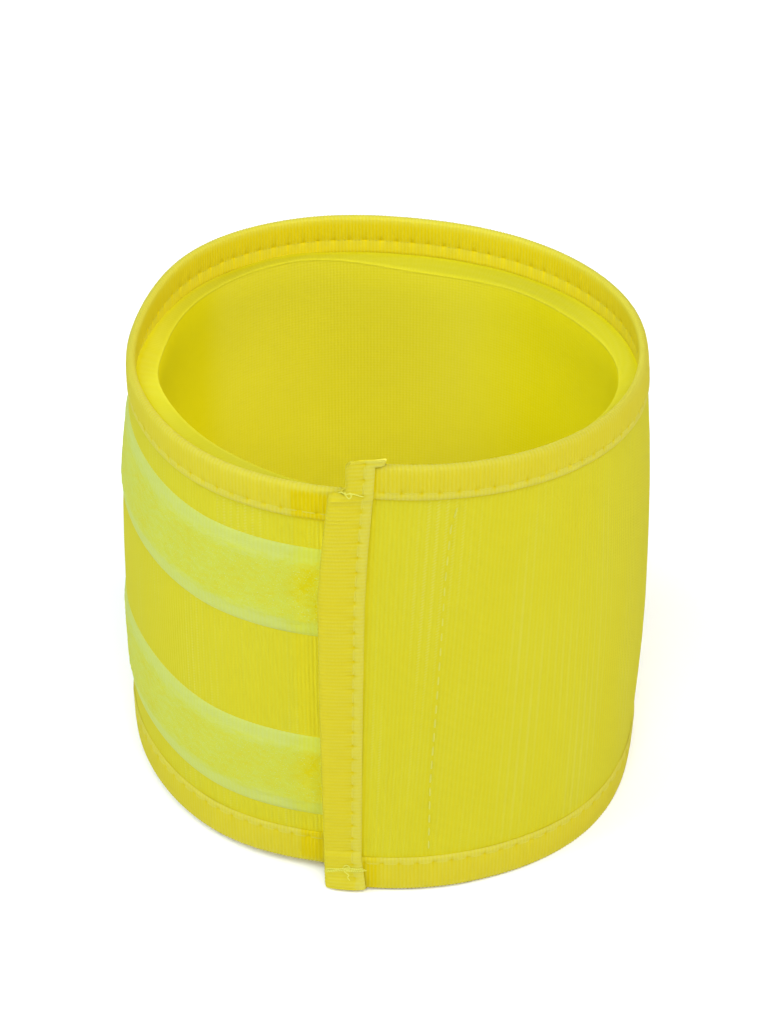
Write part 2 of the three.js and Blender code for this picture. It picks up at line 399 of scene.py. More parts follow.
def add_mesh(name, points, faces, pattern, material):
    """A piece from a grid of points in millimetres.

    pattern is each point's place along and across the cloth, its side and its shade. A side is 1
    facing outwards and -1 facing the arm, and less is painted lighter: painted light. A shade of 1
    is deep and warm, mostly painted shade, 0 plain and -1 pale, mostly a painted highlight.
    """
    mesh = bpy.data.meshes.new(name)
    mesh.from_pydata(points.reshape(-1, 3) * MM, [], faces)
    pattern = [np.broadcast_to(part, points.shape[:-1]) for part in pattern]
    pattern = np.stack(pattern, axis=-1).reshape(-1, 4).astype(np.float32)
    cloth = mesh.attributes.new("cloth", "FLOAT_VECTOR", "POINT")
    cloth.data.foreach_set("vector", pattern[:, :3].ravel())
    shade = mesh.attributes.new("shade", "FLOAT", "POINT")
    shade.data.foreach_set("value", pattern[:, 3].copy())
    mesh.shade_smooth()
    mesh.set_sharp_from_angle(angle=math.radians(SHARP_ANGLE))
    mesh.materials.append(material)
    return add_object(name, mesh)


def swept(name, loops, pattern, material, closed=False, caps=()):
    """A closed skin through loops of points, shaped (steps, points round each loop, 3)."""
    steps, around = loops.shape[:2]
    number = np.arange(steps * around).reshape(steps, around)
    ahead = np.roll(number, -1, axis=0) if closed else number[1:]
    here = number if closed else number[:-1]
    quads = np.stack([here, ahead, np.roll(ahead, -1, 1), np.roll(here, -1, 1)], axis=-1)
    faces = quads.reshape(-1, 4).tolist()
    for cap in caps:
        faces.append([int(number[0, k]) for k in cap])
        faces.append([int(number[-1, k]) for k in reversed(cap)])
    points = loops.reshape(-1, 3)
    corners = points[quads.reshape(-1, 4)]
    normals = np.cross(corners[:, 2] - corners[:, 0], corners[:, 3] - corners[:, 1])
    centre = points.mean(axis=0)
    if np.einsum("ij,ij->", normals, corners.mean(axis=1) - centre) < 0:
        faces = [face[::-1] for face in faces]
    return add_mesh(name, loops, faces, pattern, material)


def thick_sheet(name, outer, inner, along, across, shade, material, side=1.0):
    """A sheet between two grids of points, with rounded long edges."""
    rows = outer.shape[1]
    half = np.linalg.norm(outer - inner, axis=-1, keepdims=True) / 2

    def rim(edge, beside):
        away = unit(outer[:, edge] - outer[:, beside])
        return (outer[:, edge] + inner[:, edge]) / 2 + away * half[:, edge] * 0.8

    rims = rim(-1, -2)[:, None], rim(0, 1)[:, None]
    loops = np.concatenate([outer, rims[0], inner[:, ::-1], rims[1]], axis=1)
    order = [*range(rows), rows - 1, *reversed(range(rows)), 0]
    pattern = np.broadcast_arrays(along, across, side, shade, outer[..., 0])[:4]
    pattern = [part[:, order] for part in pattern]
    around = 2 * rows + 2
    caps = [[k, k + 1, around - 3 - k, around - 2 - k] for k in range(rows - 1)]
    caps += [[rows - 1, rows, rows + 1], [around - 2, around - 1, 0]]
    return swept(name, loops, pattern, material, caps=caps)


def strands(name, paths, ups, radius, material, sides=6, side=1.0):
    """Threads along paths shaped (threads, points, 3), joined in one piece. Their ends taper."""
    threads, points = paths.shape[:2]
    tangents = unit(np.gradient(paths, axis=1))
    across = unit(np.cross(tangents, ups))
    upward = np.cross(across, tangents)
    taper = np.sqrt(np.clip(1 - np.linspace(-1, 1, points) ** 6, 0.08, 1))[None, :, None, None]
    turn = np.linspace(0, 2 * np.pi, sides, endpoint=False)[None, None, :, None]
    ring = across[:, :, None] * np.cos(turn) + upward[:, :, None] * np.sin(turn)
    skin = paths[:, :, None] + ring * radius * taper
    number = np.arange(threads * points * sides).reshape(threads, points, sides)
    here, ahead = number[:, :-1], number[:, 1:]
    quads = np.stack([here, np.roll(here, -1, 2), np.roll(ahead, -1, 2), ahead], axis=-1)
    faces = quads.reshape(-1, 4).tolist()
    faces += number[:, 0, ::-1].tolist() + number[:, -1].tolist()
    pattern = np.linspace(0, 1, points)[:, None] * 3, np.arange(threads)[:, None, None], side, 0.0
    return add_mesh(name, skin, faces, pattern, material)


# Materials. Colours are as in the photo, LIGHT is the share that gives them under the lights, and
# INSIDE is how much lighter the faces towards the arm are painted: painted light for the glow of
# thin cloth there and against the shade inside the band.
LIGHT = 0.72
INSIDE = 1.35
SPECULAR = 0.05
SHEEN_ROUGHNESS = 0.45
# The side values round a fold, from its outer leg to its inner one, and on the inner leg. They
# paint shade on the fold's middle, which looks up at the light, and paint light on its inner side
# and on the inner leg.
FOLD_SIDES = (1.0, 1.05, 1.1, 1.2, 1.2, 1.1, 0.7, 0.2, -0.4, -0.9, -1.3)
INNER_LEG_SIDE = -1.4


def linear(red, green, blue):
    """An sRGB colour as light, the way the shader takes it."""
    parts = [c / 255 for c in (red, green, blue)]
    parts = [c / 12.92 if c <= 0.04045 else ((c + 0.055) / 1.055) ** 2.4 for c in parts]
    return (*parts, 1.0)


class Shader:
    """A fabric material, with short calls for its nodes."""

    def __init__(self, name, roughness, sheen, tint):
        self.material = bpy.data.materials.new(name)
        self.material.use_nodes = True
        self.tree = self.material.node_tree
        self.surface = self.tree.nodes["Principled BSDF"]
        self.surface.inputs["Roughness"].default_value = roughness
        self.surface.inputs["Specular IOR Level"].default_value = SPECULAR
        self.surface.inputs["Sheen Weight"].default_value = sheen
        self.surface.inputs["Sheen Roughness"].default_value = SHEEN_ROUGHNESS
        self.surface.inputs["Sheen Tint"].default_value = tint
        place = self.node("Attribute")
        place.attribute_name = "cloth"
        parts = self.node("SeparateXYZ")
        self.tree.links.new(place.outputs["Vector"], parts.inputs[0])
        self.along, self.across, self.side = parts.outputs
        shade = self.node("Attribute")
        shade.attribute_name = "shade"
        self.shade = shade.outputs["Fac"]

    def node(self, kind):
        return self.tree.nodes.new("ShaderNode" + kind)

    def link(self, value, socket):
        if isinstance(value, bpy.types.NodeSocket):
            self.tree.links.new(value, socket)
        else:
            socket.default_value = value

    def math(self, operation, first, second=0.0, third=0.0):
        node = self.node("Math")
        node.operation = operation
        for socket, value in zip(node.inputs, (first, second, third)):
            self.link(value, socket)
        return node.outputs[0]

    def wave(self, value, pitch):
        """0 to 1 and back over each pitch, highest where value is a whole number of pitches."""
        turned = self.math("COSINE", self.math("MULTIPLY", value, 2 * math.pi / pitch))
        return self.math("MULTIPLY_ADD", turned, 0.5, 0.5)

    def noise(self, length, width, detail=2.0, shift=0.0):
        """Noise from 0 to 1, with grains of a length along the cloth and a width across it."""
        place = self.node("CombineXYZ")
        self.link(self.math("DIVIDE", self.along, length), place.inputs[0])
        self.link(self.math("DIVIDE", self.across, width), place.inputs[1])
        self.link(self.math("ADD", self.side, shift), place.inputs[2])
        node = self.node("TexNoise")
        node.inputs["Scale"].default_value = 1.0
        node.inputs["Detail"].default_value = detail
        self.link(place.outputs[0], node.inputs["Vector"])
        return node.outputs[0]

    def weigh(self, start, *terms):
        """start plus each term's value, less a half, times its weight."""
        total = start
        for value, weight in terms:
            off = self.math("SUBTRACT", value, 0.5)
            total = self.math("ADD", total, self.math("MULTIPLY", off, weight))
        return total

    def colours(self, tone, dark, middle, light):
        """Three sRGB colours by tone, the dark and warm one also for painted shade. The side value
        paints
        light: the side that faces the arm is INSIDE times as light.
        """
        blend = self.node("ValToRGB")
        blend.color_ramp.elements[0].color = linear(*dark)
        blend.color_ramp.elements[1].color = linear(*light)
        blend.color_ramp.elements.new(0.5).color = linear(*middle)
        self.link(tone, blend.inputs[0])
        facing = self.math("MULTIPLY_ADD", self.side, (1 - INSIDE) / 2, (1 + INSIDE) / 2)
        lit = self.node("VectorMath")
        lit.operation = "SCALE"
        self.link(blend.outputs[0], lit.inputs[0])
        self.link(self.math("MULTIPLY", facing, LIGHT), lit.inputs["Scale"])
        self.link(lit.outputs[0], self.surface.inputs["Base Color"])

    def bump(self, height, distance):
        node = self.node("Bump")
        node.inputs["Distance"].default_value = distance * MM
        node.inputs["Strength"].default_value = 1.0
        self.link(height, node.inputs["Height"])
        self.link(node.outputs[0], self.surface.inputs["Normal"])

    def roughness(self, value):
        self.link(value, self.surface.inputs["Roughness"])


PALE_TINT = linear(245, 250, 180)


def stretch_cloth():
    """Fine wales, and in places every second one is brighter and dotted."""
    cloth = Shader("stretch_cloth", 0.85, 0.03, PALE_TINT)
    wale = cloth.wave(cloth.along, WALE)
    pair = cloth.wave(cloth.along, 2 * WALE)
    bright = cloth.noise(6.0, 60.0, 1.0, 3.0)
    bright = cloth.math("MULTIPLY", cloth.math("SUBTRACT", bright, 0.42), 4.0)
    bright = cloth.math("MINIMUM", cloth.math("MAXIMUM", bright, 0.0), 1.0)
    zigzag = cloth.wave(cloth.math("ADD", cloth.along, WALE / 2), 2 * WALE)
    course = cloth.wave(cloth.math("MULTIPLY_ADD", zigzag, COURSE / 2, cloth.across), COURSE)
    dots = cloth.noise(0.4, 0.4, 1.0)
    lit = cloth.math("MULTIPLY", cloth.math("MULTIPLY", pair, bright), course)
    broad = cloth.noise(14.0, 25.0, 2.0, 9.0)
    tone = cloth.weigh(0.42, (wale, 0.16), (broad, 0.2), (dots, 0.2))
    tone = cloth.math("MULTIPLY_ADD", lit, 0.4, tone)
    tone = cloth.math("MULTIPLY_ADD", cloth.shade, -0.4, tone)
    cloth.colours(tone, (219, 202, 10), (216, 208, 46), (219, 213, 84))
    cloth.bump(cloth.weigh(0.5, (wale, 0.5), (course, 0.25), (dots, 0.4)), 0.07)
    cloth.roughness(cloth.weigh(0.85, (broad, 0.15)))
    return cloth.material


def grosgrain(name, pitch, weight):
    """Ribbed ribbon: cross ribs with fine warp threads over them, plain at its edges."""
    cloth = Shader(name, 0.8, 0.03, PALE_TINT)
    rib = cloth.wave(cloth.along, pitch)
    warp = cloth.wave(cloth.across, RIBBON_WARP)
    grain = cloth.noise(0.5, 0.35, 1.0)
    broad = cloth.noise(9.0, 12.0, 2.0, 5.0)
    # Where shade is painted, the ribs' grooves are painted deeper too.
    deep = cloth.math("SUBTRACT", rib, 0.5)
    deep = cloth.math("MULTIPLY", deep, cloth.math("MAXIMUM", cloth.shade, 0.0))
    tone = cloth.weigh(0.5, (rib, weight), (broad, 0.2), (grain, 0.2))
    tone = cloth.math("MULTIPLY_ADD", deep, 0.5, tone)
    tone = cloth.math("MULTIPLY_ADD", cloth.shade, -0.5, tone)
    cloth.colours(tone, (222, 200, 0), (220, 205, 46), (220, 212, 88))
    cloth.bump(cloth.weigh(0.5, (rib, 0.3), (warp, 0.25), (grain, 0.4)), 0.05)
    cloth.roughness(cloth.weigh(0.8, (broad, 0.2)))
    return cloth.material


def loop_pile():
    """Brushed loops, mottled, between flat woven selvedges."""
    cloth = Shader("loop_pile", 0.92, 0.12, linear(240, 255, 190))
    half = TAPE_WIDTH / 2 - SELVEDGE
    reach = cloth.math("ABSOLUTE", cloth.math("SUBTRACT", cloth.across, TAPE_WIDTH / 2))
    fringe = cloth.math("SUBTRACT", cloth.noise(2.5, 0.9, 3.0, 2.0), 0.5)
    fringe = cloth.math("MULTIPLY", fringe, 1.6)
    edge = cloth.math("MULTIPLY_ADD", cloth.math("SUBTRACT", reach, half - 0.8), 0.4, fringe)
    edge = cloth.math("MINIMUM", cloth.math("MAXIMUM", cloth.math("ADD", edge, 0.5), 0.0), 1.0)
    clumps = cloth.noise(1.8, 1.1, 3.0)
    hairs = cloth.noise(0.3, 0.3, 2.0, 4.0)
    broad = cloth.noise(9.0, 7.0, 2.0, 7.0)
    specks = cloth.noise(0.25, 0.25, 0.0, 12.0)
    specks = cloth.math("MAXIMUM", cloth.math("SUBTRACT", specks, 0.68), 0.0)
    specks = cloth.math("MULTIPLY", specks, 6.0)
    pile = cloth.weigh(0.42, (clumps, 0.7), (hairs, 0.5), (broad, 0.4))
    pile = cloth.math("ADD", pile, specks)
    rib = cloth.wave(cloth.along, SELVEDGE_RIB)
    selvedge = cloth.weigh(0.8, (rib, 0.12), (clumps, 0.2))
    selvedge = cloth.math("MULTIPLY", selvedge, edge)
    pile = cloth.math("MULTIPLY", pile, cloth.math("SUBTRACT", 1.0, edge))
    tone = cloth.math("ADD", selvedge, pile)
    tone = cloth.math("MULTIPLY_ADD", cloth.shade, -0.4, tone)
    cloth.colours(tone, (216, 204, 8), (210, 216, 74), (207, 218, 120))
    cloth.bump(cloth.weigh(0.5, (clumps, 0.5), (hairs, 0.9)), 0.16)
    return cloth.material


def hook_cloth():
    cloth = Shader("hook_cloth", 0.7, 0.1, PALE_TINT)
    tone = cloth.weigh(0.5, (cloth.noise(2.0, 2.0), 0.4))
    cloth.colours(tone, (208, 194, 20), (214, 202, 30), (220, 210, 60))
    cloth.bump(cloth.wave(cloth.across, HOOK_ROW), 0.05)
    return cloth.material


def sleeve_cloth():
    """Plain-woven cloth: warp and weft of even pitch."""
    cloth = Shader("sleeve_cloth", 0.88, 0.0, PALE_TINT)
    warp = cloth.wave(cloth.along, SLEEVE_WARP)
    weft = cloth.wave(cloth.across, SLEEVE_WEFT)
    grain = cloth.noise(0.6, 0.6, 1.0)
    broad = cloth.noise(18.0, 30.0, 2.0, 5.0)
    tone = cloth.weigh(0.5, (warp, 0.12), (weft, 0.12), (grain, 0.2), (broad, 0.2))
    tone = cloth.math("MULTIPLY_ADD", cloth.shade, -0.5, tone)
    cloth.colours(tone, (214, 204, 10), (216, 208, 48), (219, 211, 74))
    cloth.bump(cloth.weigh(0.5, (warp, 0.4), (weft, 0.4), (grain, 0.5)), 0.05)
    return cloth.material


def thread(name, dark, middle, light):
    cloth = Shader(name, 0.6, 0.05, PALE_TINT)
    twist = cloth.wave(cloth.along, TWIST)
    cloth.colours(cloth.weigh(0.5, (twist, 0.6)), dark, middle, light)
    return cloth.material


cloth_material = stretch_cloth()
ribbon_material = grosgrain("ribbon", RIB, 0.22)
end_ribbon_material = grosgrain("end_ribbon", END_RIB, 0.17)
pile_material = loop_pile()
hook_material = hook_cloth()
tube_material = sleeve_cloth()
sewing_material = thread("sewing_thread", (219, 207, 50), (221, 211, 70), (223, 216, 96))
seam_material = thread("seam_thread", (215, 211, 62), (218, 216, 84), (222, 221, 112))


# Strip of stretch cloth, with rows above its lower edge, below its upper one and at shares between
ROWS_LOW = np.append(EDGE_IN_FOLD, BOTTOM_LEG + np.array([-0.5, 0.1, 0.5, 1.6]))
ROWS_HIGH = np.append(TOP_LEG + np.array([3.0, 1.6, 0.8, 0.35, 0.0, -0.5]), EDGE_IN_FOLD)
ROWS_BETWEEN = np.linspace(0, 1, 9)[1:-1]
WALE_STEPS = 4


def strip_sway(run, angle, height):
    """The cloth's slow waves between its ribbons."""
    free = ramp((top_edge(angle) - height - TOP_LEG) / 6)
    free = free * ramp((height - bottom_edge(angle) - BOTTOM_LEG) / 6)
    return 0.1 * smooth_noise(run, height, 17.0, 3) * (angle > -88) * free


def strip_piece():
    run, number = (part[:, None] for part in wale_columns(STRIP_START, STRIP_END, WALE_STEPS))
    angle = angle_at(run)
    low = bottom_edge(angle)
    high = np.where(angle < END_LEG_SIDE, top_edge(angle) - 1.0, top_edge(angle))
    high = np.where(angle < CORNER_SIDE, CORNER_TOP + EDGE_IN_FOLD, high)
    between = low + ROWS_LOW[-1] + (high - ROWS_HIGH[0] - low - ROWS_LOW[-1]) * ROWS_BETWEEN
    height = np.concatenate([low + ROWS_LOW, between, high - ROWS_HIGH], axis=1)
    # The end follows the fold of its ribbon, and the wales lean as the seam does
    reach = np.clip((STRIP_START + CORNER_REACH - angle) / CORNER_REACH, 0, 1)
    fold = straight_fold(height) + 1.2
    lean = (0.034 + 0.028 * ramp((angle + 92) / 14)) * (1 - ramp((angle + 70) / 60)) * (1 - reach)
    angle = angle + reach * (fold - STRIP_START) + lean * (height - 50)
    wale = np.cos(2 * np.pi * number) * WALE_HEIGHT / 2
    to_seam = (angle - on_line(height, SEAM_LINE)) * MM_PER_DEGREE
    seam = 0.05 * bell(to_seam, 0.6)
    sway = strip_sway(run, angle, height)
    below = top_edge(angle) - height - TOP_LEG
    above = height - bottom_edge(angle) - BOTTOM_LEG
    tuck = 0.12 * bell(below - 1.2, 1.4) - 0.04 * bell(above, 0.5)
    outer = on_strip(angle, height, CLOTH_OUT + WALE_HEIGHT / 2 - wale + seam + tuck - sway)
    inner = on_strip(angle, height, CLOTH_IN - sway)
    # Painted shade: the flap's shadow on the second turn, beside the end ribbon, beside the seam
    # and in thin warm lines along the ribbons' edges. Painted light beside the flap, where its edge
    # would shade the cloth.
    shade = 0.35 * flap_shade(run) + 0.7 * beside_end_ribbon(angle, height)
    shade = shade + 0.2 * bell(to_seam + 0.5, 0.5)
    shade = shade + 0.7 * bell(below - 0.1, 0.35) + 0.7 * bell(above - 0.1, 0.35)
    side = 1 - beside_flap(angle, height)
    return thick_sheet("strip", outer, inner, number * WALE, height, shade, cloth_material, side)


# Ribbons

def folded_profile(shallow, deep, reach, outer_rows, inner_rows):
    """The middle of a folded ribbon, from its outer leg's edge over the fold to its inner one's.

    Rows are distances from the fold. Gives each point's depth, distance, normal, leg and side. leg
    is 1 for the outer leg, -1 for the inner one and 0 on the fold.
    """

    def along(outer, fold, inner):
        return np.array([outer] * len(outer_rows) + [*fold] + [inner] * len(inner_rows))

    outside = shallow + RIBBON / 2
    inside = deep - RIBBON / 2
    middle = (outside + inside) / 2
    half = (inside - outside) / 2
    start = reach + RIBBON / 2
    turn = np.linspace(0, np.pi, len(FOLD_SIDES))
    depth = along(outside, middle - half * np.cos(turn), inside)
    distance = np.concatenate([outer_rows, start - reach * np.sin(turn), inner_rows])
    tangent = np.stack([np.gradient(depth), np.gradient(distance)])
    tangent /= np.linalg.norm(tangent, axis=0)
    normal = np.stack([tangent[1], -tangent[0]])
    leg = along(1.0, np.zeros(len(turn)), -1.0)
    side = along(1.0, FOLD_SIDES, INNER_LEG_SIDE)
    return depth, distance, normal, leg, side


def ribbon_piece(
    name, run, profile, leg_length, inset, rib, rib_height, to_place, shading, material
):
    """A folded ribbon. Each leg is puffed, pulled in along its stitches, and flares at its edge."""
    depth, distance, normal, leg, side = profile
    run = run[:, None]
    row = leg_length - inset
    on_leg = np.abs(leg)
    puff = 0.08 * np.sin(np.pi * np.clip(distance / row, 0, 1)) ** 2
    flare = 0.04 * np.clip((distance - row) / inset, 0, 1) ** 2
    flare = flare * smooth_noise(run, distance * 0, 4.0, 11)
    groove = 0.08 * bell(distance - row, 0.4)
    to_hole = (run + STITCH / 2) % STITCH - STITCH / 2
    at_hole = bell(distance - row, 0.3) * bell(to_hole, 0.3)
    turn = 2 * np.pi * run / STITCH
    scallop = 0.05 * bell(distance - row + 0.7, 0.8) * (1 - np.cos(turn))
    lift = on_leg * (puff + flare - groove - 0.2 * at_hole + scallop)
    margin = ramp((distance - row + 0.25 + 0.2 * np.cos(turn + np.pi)) / 0.5) * on_leg
    ribs = rib_height * (np.cos(2 * np.pi * run / rib) - 1) / 2 * (1 - 0.75 * margin)
    worn = 1 + 0.3 * smooth_noise(run, distance + 0 * run, 3.0, 17)
    thin = 0.2 * ramp((distance - leg_length + 0.5) / 0.5) * (leg > 0)
    out = lift + RIBBON / 2 + ribs * worn - thin
    back = lift - RIBBON / 2
    outer = to_place(run, distance + normal[1] * out, depth + normal[0] * out)
    inner = to_place(run, distance + normal[1] * back, depth + normal[0] * back)
    across = np.concatenate([[0.0], np.cumsum(np.hypot(np.diff(depth), np.diff(distance)))])
    # The shading gives painted shade and highlight for the colour, and painted light that lightens
    # the side value. Painted shade in the stitch holes; the margin past the stitches is paler,
    # partly its flat weave and partly a painted highlight where it curls out to the light.
    painted_shading, painted_light = shading(run, distance, leg, outer[..., 2])
    shade = 0.9 * at_hole * on_leg - 0.55 * margin * (1 - at_hole) + painted_shading
    return thick_sheet(name, outer, inner, run, across, shade, material, side - painted_light)


def leg_rows(length, inset, stops):
    """Distances from the fold along a leg, close together at its stitches."""
    row = length - inset
    near = [row + 0.3, row + 0.14, row, row - 0.14, row - 0.3]
    return np.array([length, length - 0.5, *near, *stops])


def drawn_in(angle, start, most):
    """How far an edge ribbon draws in, where the end ribbon covers its fold."""
    return most * ramp((start - angle) / 0.8)


def below_top(run, distance, depth):
    angle = angle_at(run)
    return on_strip(angle, top_edge(angle) - distance - drawn_in(angle, -91.0, 2.6), depth)


def above_bottom(run, distance, depth):
    angle = angle_at(run)
    return on_strip(angle, bottom_edge(angle) + distance + drawn_in(angle, -93.6, 0.6), depth)


def edge_ribbon_shade(run, distance, leg, height):
    """Painted shade, warm, where the flap shades it, beside the flap's end ribbon and on the inner
    leg, and a pale painted highlight on the fold. Also what the side value loses: painted light
    beside the flap and on the fold towards the left.
    """
    angle = angle_at(run)
    outside = leg >= 0
    ridge = -0.5 * bell(distance, 0.9)
    painted_shading = flap_shade(run) * ramp((distance - 0.8) / 0.5) * outside * 1.3
    beside = 0.8 * bell(np.maximum(angle + 90.8, 0) * MM_PER_DEGREE, 0.8) * outside
    inside = (0.5 + 0.35 * ramp((distance - 6.3) / 0.6)) * (leg < 0)
    painted_light = 0.5 * beside_flap(angle, height) * ramp((distance - 0.8) / 1.5) * outside
    painted_light = painted_light + 0.2 * bell(distance, 1.1) * ramp((angle - 180) / 30)
    return ridge + painted_shading + beside + inside, painted_light


def edge_ribbon(name, start, leg_length, to_place):
    stops = [leg_length * k for k in (0.6, 0.42, 0.26)]
    outer = leg_rows(leg_length, STITCH_INSET, stops)
    inner = leg_rows(leg_length + INNER_LONGER, STITCH_INSET + INNER_LONGER, stops)
    profile = folded_profile(RIBBON_OUT, INNER_LEG, FOLD_REACH, outer, inner[::-1])
    run = columns(start, STRIP_END - 0.3, RIB / 3)
    return ribbon_piece(
        name, run, profile, leg_length, STITCH_INSET, RIB, RIB_HEIGHT, to_place,
        edge_ribbon_shade, ribbon_material,
    )


# Flap's end ribbon

def foot_spread(height):
    """How far its outer leg stands off at the foot."""
    return FOOT_SPREAD * ramp((FOOT_TOP - height) / FOOT_TOP)


def end_place(height, distance, depth):
    """Points by height and distance from the fold. Past END_FIXED it keeps its measure."""
    fold = on_line(height, FOLD_LINE)
    spread = on_line(height, LEG_SPREAD) * ramp((distance - 7.4) / 1.2)
    inner_spread = 1.9 * ramp((height - 96) / 4)
    leg = on_line(height, LEG_LINE) + np.where(depth > 1.2, inner_spread, spread)
    degrees = 180 / (np.pi * face_radius(END_MIDDLE, height))
    fixed = leg - (END_LEG - np.maximum(distance, END_FIXED)) * degrees
    turning = leg - (END_LEG - END_FIXED) * degrees
    angle = np.where(distance > END_FIXED, fixed, fold + (turning - fold) * distance / END_FIXED)
    tilt = END_TILT * np.clip(height / FOOT_TOP, 0, 1) * (distance - END_LEG / 2)
    foot = 0.6 * np.clip((distance - 6) / 3, 0, 1) ** 2 * np.clip(1 - height / FOOT_TOP, 0, 1)
    # The legs lie closer to the cloth between the edge ribbons. They meet at the foot and at the
    # set-back corner.
    nearer = 0.36 * ramp((height - 9.0) / 1.2) * ramp((94.6 - height) / 1.2)
    at_corner = ramp((height - NOTCH_TOP + 1.5) / 1.3) * ramp((NOTCH_SIDE - angle) / 0.5)
    meet = ramp((0.9 - height) / 0.9) + at_corner * (height < NOTCH_TOP + 0.3)
    middle = (FLAP_RIBBON_OUT + FLAP_RIBBON_IN) / 2
    squeeze = np.maximum(nearer, 0.95 * np.minimum(meet, 1))
    depth = depth + squeeze * np.clip((middle - depth) / 0.8, -1, 1)
    # At the very top only the inner leg moves, over the edge ribbon's fold
    over = 1.8 * ramp((height - END_TOP + 2.2) / 2.0)
    depth = depth + over * np.clip((middle - depth) / 0.8, -1, 0)
    depth = depth - foot_spread(height) * (depth < middle + 0.2)
    return on_strip(angle, height + tilt + foot, depth)


def end_ribbon_shade(run, distance, _leg, _height):
    """Paler on its lower and upper ends, with painted shade along its fold. Its side value loses
    nothing.
    """
    ends = -0.1 * ramp((8 - run) / 4) - 0.1 * ramp((run - 92) / 5)
    return ends + 0.12 * bell(distance, 1.0), 0.0


def end_ribbon_piece():
    # Rows lie closer at the set-back corner and the tip
    heights = np.arange(0, END_TOP, END_RIB / 4)
    corner = [94.9, 95.3, 95.55, 95.8, 95.95, 96.1, 96.25, 96.5]
    tip = [END_TOP - 0.5, END_TOP - 0.25, END_TOP]
    heights = np.unique(np.round(np.concatenate([heights, corner, tip]), 3))
    stops = [END_LEG * k for k in (0.6, 0.51, 0.4, 0.3, 0.2)]
    rows = leg_rows(END_LEG, END_STITCH_INSET, stops)
    profile = folded_profile(FLAP_RIBBON_OUT, FLAP_RIBBON_IN, END_FOLD_REACH, rows, rows[::-1])
    return ribbon_piece(
        "flap_end_ribbon", heights, profile, END_LEG, END_STITCH_INSET, END_RIB, END_RIB_HEIGHT,
        end_place, end_ribbon_shade, end_ribbon_material,
    )


# Stitches

def row_of_stitches(name, start, end, place, radius, material, gap=0.07):
    """One thread from each hole to the next, dipping at both."""
    holes = np.arange(math.ceil(start / STITCH), math.floor(end / STITCH) + 1) * STITCH
    here, ahead = holes[:-1, None], holes[1:, None]
    t = np.linspace(0, 1, 9)
    run = here + (ahead - here) * (gap + (1 - 2 * gap) * t)
    dip = STITCH_DIP * np.abs(2 * t - 1) ** 5
    paths = place(run, dip)
    return strands(name, paths, unit(place(run, dip - 1.0) - paths), radius, material)


def leg_stitches(name, start, end, to_place, row, outer_level, inner_level):
    """Stitches on both legs of a ribbon, each at its own depth."""

    def on_leg(leg, level, sign):
        def place(run, dip):
            return to_place(run, row + 0 * run, level + sign * dip + 0 * run)

        return row_of_stitches(f"{name}_{leg}", start, end, place, THREAD, sewing_material)

    return [on_leg("outside", outer_level, 1.0), on_leg("inside", inner_level, -1.0)]


def edge_stitches(name, start, to_place, leg_length):
    start, end = run_at(start), run_at(STRIP_END - 1)
    row = leg_length - STITCH_INSET
    return leg_stitches(name, start, end, to_place, row, RIBBON_OUT + 0.09, INNER_LEG - 0.17)


def end_stitches():
    return leg_stitches(
        "flap_end_stitches", 1.0, END_TOP - 0.5, end_place, END_LEG - END_STITCH_INSET,
        FLAP_RIBBON_OUT + 0.06, FLAP_RIBBON_IN - 0.06,
    )


def seam_stitches():
    def place(height, dip):
        return on_strip(on_line(height, SEAM_LINE), height, CLOTH_OUT + 0.09 + dip)

    return row_of_stitches(
        "flap_seam_stitches", 9.0, 94.0, place, SEAM_THREAD, seam_material, gap=0.14
    )


# By height and angle: two at the set-back corner, and a bar with two ends at the foot
LOOSE_THREADS = [
    [
        (96.2, -97.4), (96.4, -96.8), (96.0, -96.0), (96.2, -95.2), (96.0, -94.2), (95.7, -93.2),
        (95.6, -92.6),
    ],
    [(96.5, -96.2), (95.6, -95.9), (95.1, -95.4), (95.7, -95.0), (96.3, -95.3), (95.9, -94.6)],
    [(4.5, -101.6), (4.9, -100.0), (5.4, -98.0), (5.5, -96.0), (5.6, -94.4), (6.0, -92.4)],
    [(4.9, -101.6), (5.2, -99.6), (5.9, -97.8), (5.8, -96.0), (6.1, -94.0), (6.2, -92.8)],
    [(5.2, -101.5), (5.6, -99.8), (5.8, -98.2), (6.3, -96.4), (6.2, -94.6), (6.6, -93.2)],
    [(6.1, -97.4), (5.2, -97.1), (4.5, -96.3), (3.9, -96.5), (3.2, -96.0)],
    [(6.3, -97.5), (7.0, -96.8), (6.5, -96.1), (5.7, -96.5), (6.2, -97.1)],
]


def loose_threads():
    places = []
    for points in LOOSE_THREADS:
        t = np.linspace(0, len(points) - 1, 25)
        places.append([through(part, t) for part in np.array(points).T])
    height, angle = np.array(places).swapaxes(0, 1)
    depth = FLAP_RIBBON_OUT - 0.05 - foot_spread(height)
    paths = on_strip(angle, height, depth)
    ups = on_strip(angle, height, depth - 1.0) - paths
    # Painted light: the side value makes the threads a little lighter.
    return strands("loose_threads", paths, ups, THREAD, seam_material, side=0.1)


# Loop tapes

